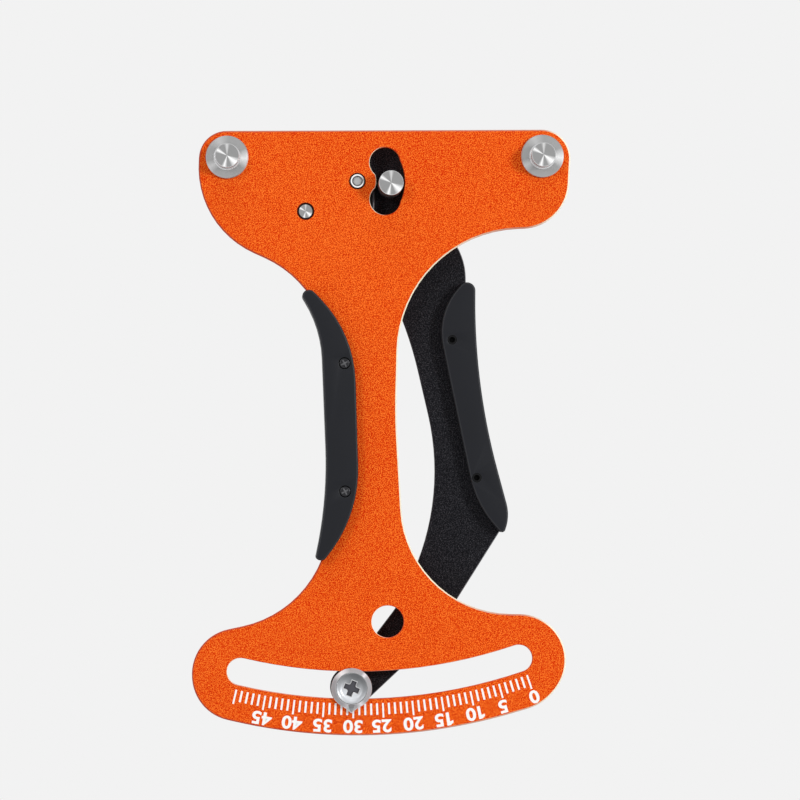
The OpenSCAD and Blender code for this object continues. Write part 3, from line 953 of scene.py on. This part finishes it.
makeBolt()
boltRadius = pivotLooks["boltRadius"]
makeRing(
    "pivotSpacer", "pivot_spacer", "frame", "stainless", pivotLooks["spacerRadius"], boltRadius, steelSide,
)
makeBush()
makeRing(
    "thrustWasher", "thrust_washer", "frame", "nylon", pivotLooks["washerRadius"], boltRadius, nylon, 0.1,
)
print("pivot made")


# button screws behind the posts

buttonLooks = {
    "radius": 3.8, "height": 2.2, "hex": 2.5, "hexDepth": 1.3, "flat": 1.75, "edge": 0.35, "steps": 7,
    "sides": 64,
}


def buttonTemplate():
    # a domed head that stands back from its seat, with a hexagon socket
    looks = buttonLooks
    radius = looks["radius"]
    crown = looks["height"]
    shape = Shape()
    profile = [(radius - 0.1, 0, 0), (radius, 0.1, 0), (radius, looks["edge"], 0)]
    for i in range(1, looks["steps"] + 1):
        t = i / looks["steps"]
        rise = math.sin(t * math.pi / 2) ** 0.9
        height = looks["edge"] + (crown - looks["edge"]) * rise
        profile.append((radius + (looks["flat"] - radius) * t, height, 0))
    rings = shape.turn(profile, looks["sides"])
    shape.cap([rings[0]], 0)
    socket(shape, rings[-1], hexagon((0, 0), looks["hex"]), crown, crown - looks["hexDepth"], (0, 1, 1))
    return shape.build("buttonTemplate", [steelFace, steelSocket])


def makeButtons(name, node, body, centres, seat):
    places = [(x, seat, z) for x, z in centres]
    piece = repeat(name, buttonTemplate(), [steelFace, steelSocket], places)
    return stand(piece, body, "stainless", node)


makeButtons("postScrews", "post_screws", "frame", [middle("left_post"), middle("right_post")], plateBack)
makeButtons("movingPostScrew", "moving_post_screw", "arm", [middle("moving_post")], armBack)
print("button screws made")


# torsion spring: a leg on the plate's pin, the coil, and a leg on the arm's pin

springLooks = {
    "wire": 1.8, "coilRadius": 5.6, "turns": 2, "gap": 0.45, "slip": 0.05, "overrun": 3.0, "sides": 16,
    "perTurn": 48, "legPoints": 6, "sharp": 60,
}


def springTree():
    graph, given = newTree("springWire", {
        "Coil Points": "Int", "Leg Points": "Int", "Sides": "Int", "Wire Radius": "Float", "Coil Radius": "Float",
        "Rise": "Float", "Start": "Float", "Sweep": "Float", "Fixed Leg": "Vector", "Moving Leg": "Vector",
        "Centre": "Vector",
    })
    index = graph.add("GeometryNodeInputIndex")
    along = (index - given["Leg Points"]) / given["Coil Points"]
    share = along.clip()
    angle = given["Start"] - share * given["Sweep"]
    coil = graph.vector(
        angle.cosine() * given["Coil Radius"], share * given["Rise"], angle.sine() * given["Coil Radius"],
    )
    legShare = given["Coil Points"] / given["Leg Points"]

    def leg(amount, way):
        return graph.add("ShaderNodeVectorMath", {"operation": "SCALE"}, Vector=way, Scale=amount.clip())

    fixedLeg = leg(along * legShare * -1.0, given["Fixed Leg"])
    movingLeg = leg((along - 1.0) * legShare, given["Moving Leg"])
    place = graph.total(graph.total(coil, given["Centre"]), graph.total(fixedLeg, movingLeg))
    count = given["Coil Points"] + given["Leg Points"] * 2.0 + 1.0
    line = graph.add("GeometryNodeMeshLine", i0=count)
    path = graph.add("GeometryNodeMeshToCurve", i0=graph.add("GeometryNodeSetPosition", i0=line, i2=place))
    wire = graph.add(
        "GeometryNodeCurvePrimitiveCircle", Resolution=given["Sides"], Radius=given["Wire Radius"],
    )
    tube = graph.add("GeometryNodeCurveToMesh", Curve=path, ProfileCurve=wire, FillCaps=True)
    return endTree(graph, tube, [springWire])


def makeSpring():
    looks = springLooks
    radius = looks["coilRadius"]
    pitch = looks["wire"] + looks["gap"]

    def leg(peg):
        # a leg passes its peg on the outside of a line that just touches the coil
        away = Vector(peg) - Vector(pivot)
        clear = radius + pinLooks["peg"] + looks["wire"] / 2 + looks["slip"]
        length = math.sqrt(away.length ** 2 - clear ** 2) + looks["overrun"]
        return math.atan2(away.y, away.x), math.acos(clear / away.length), length

    fixedTurn, fixedLean, fixedLength = leg(middle("spring_pin"))
    movingTurn, movingLean, movingLength = leg(middle("arm_spring_pin"))
    start = fixedTurn - fixedLean
    end = movingTurn + movingLean
    while start < end:
        start += fullTurn
    sweep = start - end + fullTurn * looks["turns"]
    rise = pitch * sweep / fullTurn
    front = (plateBack + armFace - rise) / 2
    mesh = grow(springTree(), "torsionSpring", {
        "Coil Points": round(sweep / fullTurn * looks["perTurn"]), "Leg Points": looks["legPoints"],
        "Sides": looks["sides"], "Wire Radius": looks["wire"] / 2 * mm, "Coil Radius": radius * mm,
        "Rise": rise * mm, "Start": start, "Sweep": sweep,
        "Fixed Leg": (-math.sin(start) * fixedLength * mm, 0.0, math.cos(start) * fixedLength * mm),
        "Moving Leg": (math.sin(end) * movingLength * mm, 0.0, -math.cos(end) * movingLength * mm),
        "Centre": (pivot[0] * mm, front * mm, pivot[1] * mm),
    })
    piece = linked("torsionSpring", cleaned(mesh, looks["sharp"]))
    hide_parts("torsion_spring")
    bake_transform(piece)


makeSpring()
print("spring made")


# arm

armLooks = {"edge": 0.25}


def makeArm():
    shape = Shape()
    edge = chamferEdge(armLooks["edge"])
    sheet(shape, flatLoops("swing_arm", armFace), armFace, armBack, edge, edge)
    return stand(shape.build("swingArm", [blackFace, blackEdge]), "arm", "anodised_black", "swing_arm")


makeArm()
print("arm made")


# grips: a moulded shell on each side of a sheet, with a lip that closes round the sheet's edge

gripLooks = {"round": 0.55, "holeRound": 0.12, "seam": 0.1}


def makeGrip(name, node, body, isFront, sheetNear, sheetFar):
    looks = gripLooks
    front, back = depths(node)
    outerFace = front if isFront else back
    seat = sheetNear if isFront else sheetFar
    joint = back if isFront else front
    shape = Shape()

    def shownEdge(i, loop):
        return roundEdge(looks["round"]) if i == 0 else roundEdge(looks["holeRound"], 2)

    seatEdge = [(0, 0)]
    seamEdge = chamferEdge(looks["seam"])
    loops = flatLoops(node, outerFace)
    lip = flatLoops(node, joint)[:1]
    if isFront:
        sheet(shape, loops, outerFace, seat, shownEdge, seatEdge)
        sheet(shape, lip, seat, joint, seatEdge, seamEdge, (0, 0, 0))
    else:
        sheet(shape, loops, seat, outerFace, seatEdge, shownEdge)
        sheet(shape, lip, joint, seat, seamEdge, seatEdge, (0, 0, 0))
    # the rounded edges and hole edges take the painted highlight copy of the plastic
    return stand(shape.build(name, [gripPlastic, gripEdge], 40), body, "grip_plastic", node)


makeGrip("frameGripFront", "frame_grip_front", "frame", True, plateFace, plateBack)
makeGrip("frameGripRear", "frame_grip_rear", "frame", False, plateFace, plateBack)
makeGrip("armGripFront", "arm_grip_front", "arm", True, armFace, armBack)
makeGrip("armGripRear", "arm_grip_rear", "arm", False, armFace, armBack)
print("grips made")


# grip screws, nuts and inserts

gripScrewLooks = {
    "dome": 0.4, "shank": 1.0, "crossShare": 0.66, "crossShareWidth": 0.26, "crossFillet": 0.14,
    "crossDepth": 0.5, "headDepth": 1.5, "crossTurn": 28, "sides": 48, "nutFlats": 4.0, "nutEdge": 0.12,
    "insertBore": 0.8, "insertMouth": 0.2,
}
gripScrewFinishes = [blackOxide, oxideGlint, oxideShade]


def crossLoop(reach, halfWidth, fillet, turnedBy, steps=5):
    # the outline of a crossed recess with rounded inner corners
    loop = []
    for quarter in range(4):
        corner = [(reach, -halfWidth), (reach, halfWidth)]
        for i in range(steps + 1):
            a = -math.pi / 2 - math.pi / 2 * i / steps
            corner.append((halfWidth + fillet * (1 + math.cos(a)), halfWidth + fillet * (1 + math.sin(a))))
        loop += spun(corner, math.radians(turnedBy + 90 * quarter))
    return loop


def gripScrewTemplate(head, length, way):
    # way is the direction from the head to the tip along Y
    looks = gripScrewLooks
    shape = Shape()
    flat = head * 0.7
    profile = [(flat, 0, 0)]
    for i in range(1, 5):
        t = i / 4 * math.pi / 2
        profile.append((flat + (head - flat) * math.sin(t), way * looks["dome"] * (1 - math.cos(t)), 0))
    profile += [(head, way * looks["headDepth"], 2), (looks["shank"], way * looks["headDepth"], 2),
                (looks["shank"], way * length, 2)]
    rings = shape.turn(profile, looks["sides"])
    shape.cap([rings[-1]], 2)
    loop = crossLoop(head * looks["crossShare"], head * looks["crossShareWidth"] / 2, looks["crossFillet"],
                     looks["crossTurn"], 3)
    socket(shape, rings[0], loop, 0, way * looks["crossDepth"], (0, 1, 1))
    return shape.build("gripScrewTemplate", gripScrewFinishes)


def loopCentres(node, depth):
    return sorted((loopMiddle(loop) for loop in flatLoops(node, depth)[1:]), key=lambda place: -place[1])


frameScrewAt = loopCentres("frame_grip_front", depths("frame_grip_front")[0])
armScrewAt = loopCentres("arm_grip_rear", depths("arm_grip_rear")[1])


def makeGripScrews(name, node, body, centres, way):
    front, back = depths(node)
    low, high = nodeBox(node)
    head = (high[0] - low[0] - abs(centres[0][0] - centres[-1][0])) / 2
    top = front if way > 0 else back
    places = [(x, top, z) for x, z in centres]
    piece = repeat(name, gripScrewTemplate(head, back - front, way), gripScrewFinishes, places)
    return stand(piece, body, "black_screw", node)


def makeNuts():
    looks = gripScrewLooks
    front, back = depths("frame_grip_nuts")
    shape = Shape()
    outer = hexagon((0, 0), looks["nutFlats"])
    bore = circle((0, 0), looks["shank"], 32)[::-1]
    edge = chamferEdge(looks["nutEdge"])
    sheet(shape, [outer, bore], 0, back - front, edge, edge)
    materials = [steelFace, steelRim]
    template = shape.build("nutTemplate", materials)
    piece = repeat("frameGripNuts", template, materials, [(x, front, z) for x, z in frameScrewAt])
    return stand(piece, "frame", "stainless", "frame_grip_nuts")


def makeInserts():
    looks = gripScrewLooks
    front, back = depths("arm_grip_inserts")
    low, high = nodeBox("arm_grip_inserts")
    outer = (high[0] - low[0] - abs(armScrewAt[0][0] - armScrewAt[-1][0])) / 2
    bore = looks["insertBore"]
    mouth = looks["insertMouth"]
    deep = back - front
    shape = Shape()
    shape.turn([
        (bore + mouth, 0, 0), (outer - smallBreak, 0, 0), (outer, smallBreak, 0), (outer, deep, 0),
        (bore, deep, 1), (bore, mouth, 1),
    ], looks["sides"], closed=True)
    materials = [insertBlack, oxideShade]
    template = shape.build("insertTemplate", materials)
    piece = repeat("armGripInserts", template, materials, [(x, front, z) for x, z in armScrewAt])
    return stand(piece, "arm", "black_screw", "arm_grip_inserts")


makeGripScrews("frameGripScrews", "frame_grip_screws", "frame", frameScrewAt, 1)
makeGripScrews("armGripScrews", "arm_grip_screws", "arm", armScrewAt, -1)
makeNuts()
makeInserts()
print("grip fasteners made")


# pointer: a bevelled ring with a nib, and a dished screw sunk in it

pointerLooks = {
    "radius": 6.75, "bevelInner": 5.4, "pocket": 5.3, "pocketDepth": 1.8, "bore": 2.0, "nibReach": 8.2,
    "nibFrom": 33, "nibWaist": 1.7, "nibWaistAt": 6.75, "nibDepth": 1.3, "nibSteps": 8, "nibEdge": 0.2,
    "ribFrom": 5.35, "ribWidth": 1.1, "ribRise": 0.12,
    "screwRadius": 5.22, "dish": 0.75, "dishFlat": 3.15, "dishSteps": 8,
    "cross": 2.6, "crossHalfWidth": 0.86, "crossFillet": 0.66, "crossTurn": -22, "crossDepth": 0.9,
    "crossEdge": 0.22, "nibRoot": (3.5, -3.6), "sides": 128,
}


def alongPointer(points):
    # from points about the pointer, with the nib straight down, to places on the tool
    away = Vector(pointerAt) - Vector(pivot)
    return spun(points, math.atan2(away.y, away.x) + math.pi / 2, pointerAt)


def nibLoop():
    looks = pointerLooks
    start = math.radians(looks["nibFrom"])
    edge = Vector((looks["radius"] * math.sin(start), -looks["radius"] * math.cos(start)))
    waist = Vector((looks["nibWaist"], -looks["nibWaistAt"]))
    tip = Vector((0.1, -looks["nibReach"]))
    flank = []
    for i in range(looks["nibSteps"] + 1):
        t = i / looks["nibSteps"]
        flank.append(edge * (1 - t) ** 2 + waist * (2 * t * (1 - t)) + tip * t ** 2)
    x, z = looks["nibRoot"]
    points = [(-p.x, p.y) for p in reversed(flank)] + [(-x, z), (x, z)] + [(p.x, p.y) for p in flank]
    return alongPointer(points if area(points) > 0 else points[::-1])


def addRib(shape, face, back):
    # a low ridge that runs down the bevel to the tip of the nib
    looks = pointerLooks
    bevel = looks["radius"] - looks["bevelInner"]
    nibTop = back - looks["nibDepth"]
    lift = looks["ribRise"]
    stations = [
        (looks["ribFrom"], looks["ribWidth"], face), (looks["radius"] - 0.1, 0.72, face + bevel - 0.1),
        (looks["nibReach"] - 0.25, 0.12, nibTop),
    ]
    rows = []
    for reach, halfWidth, depth in stations:
        left, crown, right = alongPointer([(-halfWidth, -reach), (0, -reach), (halfWidth, -reach)])
        first = len(shape.points)
        shape.points += [
            (left[0], depth, left[1]), (crown[0], depth - lift, crown[1]), (right[0], depth, right[1]),
            (crown[0], depth + 0.4, crown[1]),
        ]
        rows.append([first, first + 1, first + 2, first + 3])
    for near, far in zip(rows, rows[1:]):
        shape.band(near, far, 4)
    shape.face(rows[0], 4)
    shape.face(rows[-1], 4)


def makePointer():
    looks = pointerLooks
    face, back = depths("pointer")
    radius = looks["radius"]
    bevel = radius - looks["bevelInner"]
    floor = face + looks["pocketDepth"]
    shape = Shape(pointerAt)
    shape.turn([
        (looks["bore"], floor, 2), (looks["pocket"], floor, 2), (looks["pocket"], face, 1),
        (looks["bevelInner"], face, 0), (radius - 0.1, face + bevel - 0.1, 1), (radius, face + bevel, 2),
        (radius, back - 0.1, 2), (radius - 0.1, back, 2), (looks["bore"], back, 2),
    ], looks["sides"], closed=True)
    nibTop = back - looks["nibDepth"]
    sheet(shape, [nibLoop()], nibTop, back - 0.02, chamferEdge(looks["nibEdge"]), [(0, 0)], (3, 1, 2))
    addRib(shape, face, back)
    piece = shape.build("pointer", [turnedBevel, steelRim, steelSide, steelFloor, steelNib])
    return stand(piece, "arm", "stainless", "pointer")


def makePointerScrew():
    looks = pointerLooks
    back = depths("pointer_screw")[1]
    face = depths("pointer")[0]
    seat = face + looks["pocketDepth"]
    rim = looks["screwRadius"]
    dish = looks["dish"]
    flat = looks["dishFlat"]
    floor = face + dish
    shape = Shape(pointerAt)
    profile = []
    for i in range(looks["dishSteps"] + 1):
        t = i / looks["dishSteps"]
        profile.append((flat + (rim - 0.16 - flat) * t, face + dish * (1 + math.cos(t * math.pi)) / 2, 0))
    profile[-1] = (profile[-1][0], profile[-1][1], 1)
    profile += [(rim, face + 0.14, 2), (rim, seat, 2), (looks["bore"], seat, 2), (looks["bore"], back, 2)]
    rings = shape.turn(profile, looks["sides"])
    shape.cap([rings[-1]], 2)
    cross = crossLoop(looks["cross"], looks["crossHalfWidth"], looks["crossFillet"], looks["crossTurn"], 8)
    loop = [(pointerAt[0] + x, pointerAt[1] + z) for x, z in cross]
    edge = looks["crossEdge"]
    mouth = shape.ring(inset(loop, -edge), floor)
    shape.cap([rings[0], mouth], 0)
    lip = shape.ring(loop, floor + edge * 0.8)
    shape.band(mouth, lip, 1)
    low = shape.ring(inset(loop, 0.1), floor + looks["crossDepth"])
    shape.band(lip, low, 3)
    shape.cap([low], 4)
    piece = shape.build("pointerScrew", [turnedDish, steelRim, steelSide, steelSocket, steelRecess])
    return stand(piece, "arm", "stainless", "pointer_screw")


makePointer()
makePointerScrew()


# what clamps the pointer to the arm

stackLooks = {
    "spacer": 3.4, "washer": 4.5, "bore": 2.0, "nutFlats": 7.0, "nutCrown": 0.97, "nutChamfer": 0.5,
}


def makePointerNut():
    looks = stackLooks
    front, back = depths("pointer_nut")
    shape = Shape(pointerAt)
    sides = 48
    perFlat = sides // 6
    outer = hexagon(pointerAt, looks["nutFlats"])
    bore = circle(pointerAt, looks["bore"] + 0.05, sides)[::-1]
    crown = shape.ring(circle(pointerAt, looks["nutFlats"] / 2 * looks["nutCrown"], sides), back)
    shape.cap([crown, shape.ring(bore, back)], 0)
    shoulder = shape.ring(outer, back - looks["nutChamfer"])
    for i in range(sides):
        # from the round crown down to the hexagon's nearest corner
        here = round(i / perFlat) % 6
        following = round((i + 1) / perFlat) % 6
        shape.face((crown[i], crown[(i + 1) % sides], shoulder[here]), 1)
        if following != here:
            shape.face((crown[(i + 1) % sides], shoulder[following], shoulder[here]), 1)
    base = shape.ring(outer, front)
    shape.band(shoulder, base, 0)
    shape.cap([base, shape.ring(bore, front)], 0)
    shape.band(shape.ring(bore, front), shape.ring(bore, back), 2)
    piece = shape.build("pointerNut", [steelFace, steelRim, steelSocket])
    return stand(piece, "arm", "stainless", "pointer_nut")


stackBore = stackLooks["bore"]
makeRing("pointerSpacer", "pointer_spacer", "arm", "stainless", stackLooks["spacer"], stackBore, steelSide)
makeRing("pointerWasher", "pointer_washer", "arm", "stainless", stackLooks["washer"], stackBore, steelFace)
makePointerNut()
print("pointer made")


# light and camera

stageLooks = {
    "background": 0.888, "ambient": 0.50, "metalRoom": 1.0, "metalUp": -0.25, "metalRight": 0.05,
    "metalRange": (0.3, 1.1), "wallSlope": 1.6, "wallStart": 0.35,
}
lampLooks = [
    # name, place, size, power, all in metres and watts
    ("leftLamp", (-0.9, -1.9, 0.5), (0.4, 0.4), 7),
    ("rightLamp", (1.3, -1.7, 0.3), (0.3, 0.3), 22),
    ("topLamp", (-0.1, -0.7, 1.5), (1.2, 0.6), 5),
    ("backLamp", (-0.5, 1.4, 0.7), (0.9, 0.9), 12),
]
cameraLooks = {
    "distance": 1700, "span": 266.67, "target": (4.64, plateFace, -76.2),
    "yaw": -1.8, "pitch": 1.2, "roll": -0.3,
}


def makeWorld():
    looks = stageLooks
    world = bpy.data.worlds.new("studio")
    bpy.context.scene.world = world
    world.use_nodes = True
    graph = Graph(world.node_tree)
    graph.tree.nodes.clear()

    def ray(kind):
        return graph.add("ShaderNodeLightPath", None, kind)

    def glow(level):
        return graph.add("ShaderNodeBackground", Color=(1, 1, 1), Strength=level)

    def choose(switch, first, second):
        return graph.add("ShaderNodeMixShader", i0=switch, i1=first, i2=second)

    way = graph.add("ShaderNodeTexCoord", None, "Generated")
    right, backward, upward = graph.parts(way)
    # metal sees the pale backdrop behind the tool, and a room that is darker above
    room = (upward * looks["metalUp"] + right * looks["metalRight"] + looks["metalRoom"])
    room = room.clip(*looks["metalRange"])
    wall = (backward * looks["wallSlope"] + looks["wallStart"]).clip()
    seen = room * (1 - wall) + wall * looks["background"]
    lit = choose(ray("Is Glossy Ray"), glow(looks["ambient"]), glow(seen))
    lit = choose(ray("Is Transmission Ray"), lit, glow(looks["background"]))
    lit = choose(ray("Is Camera Ray"), lit, glow(looks["background"]))
    output = graph.tree.nodes.new("ShaderNodeOutputWorld")
    graph.tree.links.new(lit.socket, output.inputs[0])


def makeLamps():
    aim = Vector((0, 0, -0.08))
    for name, place, size, power in lampLooks:
        data = bpy.data.lights.new(name, "AREA")
        data.shape = "RECTANGLE"
        data.size, data.size_y = size
        data.energy = power
        data.specular_factor = 0.1
        lamp = linked(name, data)
        lamp.location = place
        lamp.rotation_euler = (aim - Vector(place)).to_track_quat("-Z", "Y").to_euler()


def makeCamera():
    looks = cameraLooks
    data = bpy.data.cameras.new("camera")
    camera = linked("camera", data)
    yaw = math.radians(looks["yaw"])
    pitch = math.radians(looks["pitch"])
    way = Vector((-math.sin(yaw) * math.cos(pitch), math.cos(yaw) * math.cos(pitch), math.sin(pitch)))
    camera.location = (Vector(looks["target"]) - way * looks["distance"]) * mm
    facing = way.to_track_quat("-Z", "Y").to_matrix().to_4x4()
    camera.rotation_euler = (facing @ Matrix.Rotation(math.radians(looks["roll"]), 4, "Z")).to_euler()
    data.lens = data.sensor_width * looks["distance"] / looks["span"]
    data.clip_start = 0.05
    data.clip_end = 20
    bpy.context.scene.camera = camera


makeWorld()
makeLamps()
makeCamera()
bpy.context.scene.view_settings.view_transform = "Standard"
print("stage made")
